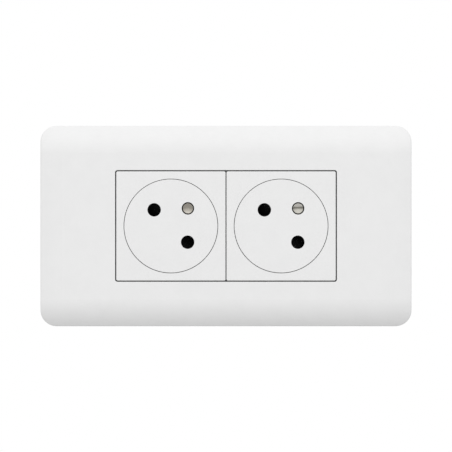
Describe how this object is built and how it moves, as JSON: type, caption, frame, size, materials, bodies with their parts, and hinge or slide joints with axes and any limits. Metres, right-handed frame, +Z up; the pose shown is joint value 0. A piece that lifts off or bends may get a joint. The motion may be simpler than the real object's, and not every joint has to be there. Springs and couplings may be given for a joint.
{
  "type": "double wall socket",
  "caption": "White wall socket with round flush discs that the plug pushes back, in a plate with rolled edges, on a mounting support with the wired parts behind.",
  "frame": {"origin": "centre of the cover plate on the wall plane, at the middle of the four fixing slots", "axes": "+X right as seen from the front, +Y into the wall, +Z up; the front faces look along -Y"},
  "size_m": [0.1516, 0.0392, 0.082],
  "materials": {
    "white_plastic": "smooth white moulding, low gloss",
    "black_plastic": "matt black moulding",
    "grey_plastic": "matt grey glass-filled moulding",
    "support_plastic": "matt dark grey moulding",
    "spring_steel": "drawn spring wire",
    "zinc_steel": "bright zinc-plated steel",
    "nickel": "nickel-plated turned brass",
    "bronze": "stamped spring bronze strip",
    "brass": "plain machined brass"
  },
  "bodies": {
    "housing": {"cover_plate": "white_plastic", "mounting_support": "support_plastic", "left_front_frame": "white_plastic", "left_return_spring": "spring_steel", "left_base": "grey_plastic", "left_neutral_contact": "bronze", "left_line_contact": "bronze", "left_earth_pin": "nickel", "left_earth_strap": "brass", "left_neutral_terminal": "brass", "left_line_terminal": "brass", "left_earth_terminal": "brass", "left_terminal_screws": "zinc_steel", "left_rear_cover": "grey_plastic", "left_cover_screws": "zinc_steel", "right_front_frame": "white_plastic", "right_return_spring": "spring_steel", "right_base": "grey_plastic", "right_neutral_contact": "bronze", "right_line_contact": "bronze", "right_earth_pin": "nickel", "right_earth_strap": "brass", "right_neutral_terminal": "brass", "right_line_terminal": "brass", "right_earth_terminal": "brass", "right_terminal_screws": "zinc_steel", "right_rear_cover": "grey_plastic", "right_cover_screws": "zinc_steel"},
    "left_disc": {"left_disc": "white_plastic", "left_shutter_spring": "spring_steel", "left_shutter_clip": "spring_steel"},
    "left_shutter": {"left_shutter": "black_plastic"},
    "right_disc": {"right_disc": "white_plastic", "right_shutter_spring": "spring_steel", "right_shutter_clip": "spring_steel"},
    "right_shutter": {"right_shutter": "black_plastic"}
  },
  "joints": [
    {"name": "left_disc_slide", "type": "slide", "parent": "housing", "child": "left_disc", "axis": [0, 1, 0], "range_m": [0, 0.015], "stiffness_N_per_m": 500, "springref_m": -0.01, "deforming": ["left_return_spring"]},
    {"name": "left_shutter_turn", "type": "hinge", "parent": "left_disc", "child": "left_shutter", "pos_m": [-0.0225, -0.0045, 0], "axis": [0, 1, 0], "range_deg": [0, 40], "stiffness_Nm_per_rad": 0.01, "springref_deg": -20.05, "deforming": ["left_shutter_spring"]},
    {"name": "right_disc_slide", "type": "slide", "parent": "housing", "child": "right_disc", "axis": [0, 1, 0], "range_m": [0, 0.015], "stiffness_N_per_m": 500, "springref_m": -0.01, "deforming": ["right_return_spring"]},
    {"name": "right_shutter_turn", "type": "hinge", "parent": "right_disc", "child": "right_shutter", "pos_m": [0.0225, -0.0045, 0], "axis": [0, 1, 0], "range_deg": [0, 40], "stiffness_Nm_per_rad": 0.01, "springref_deg": -20.05, "deforming": ["right_shutter_spring"]}
  ]
}
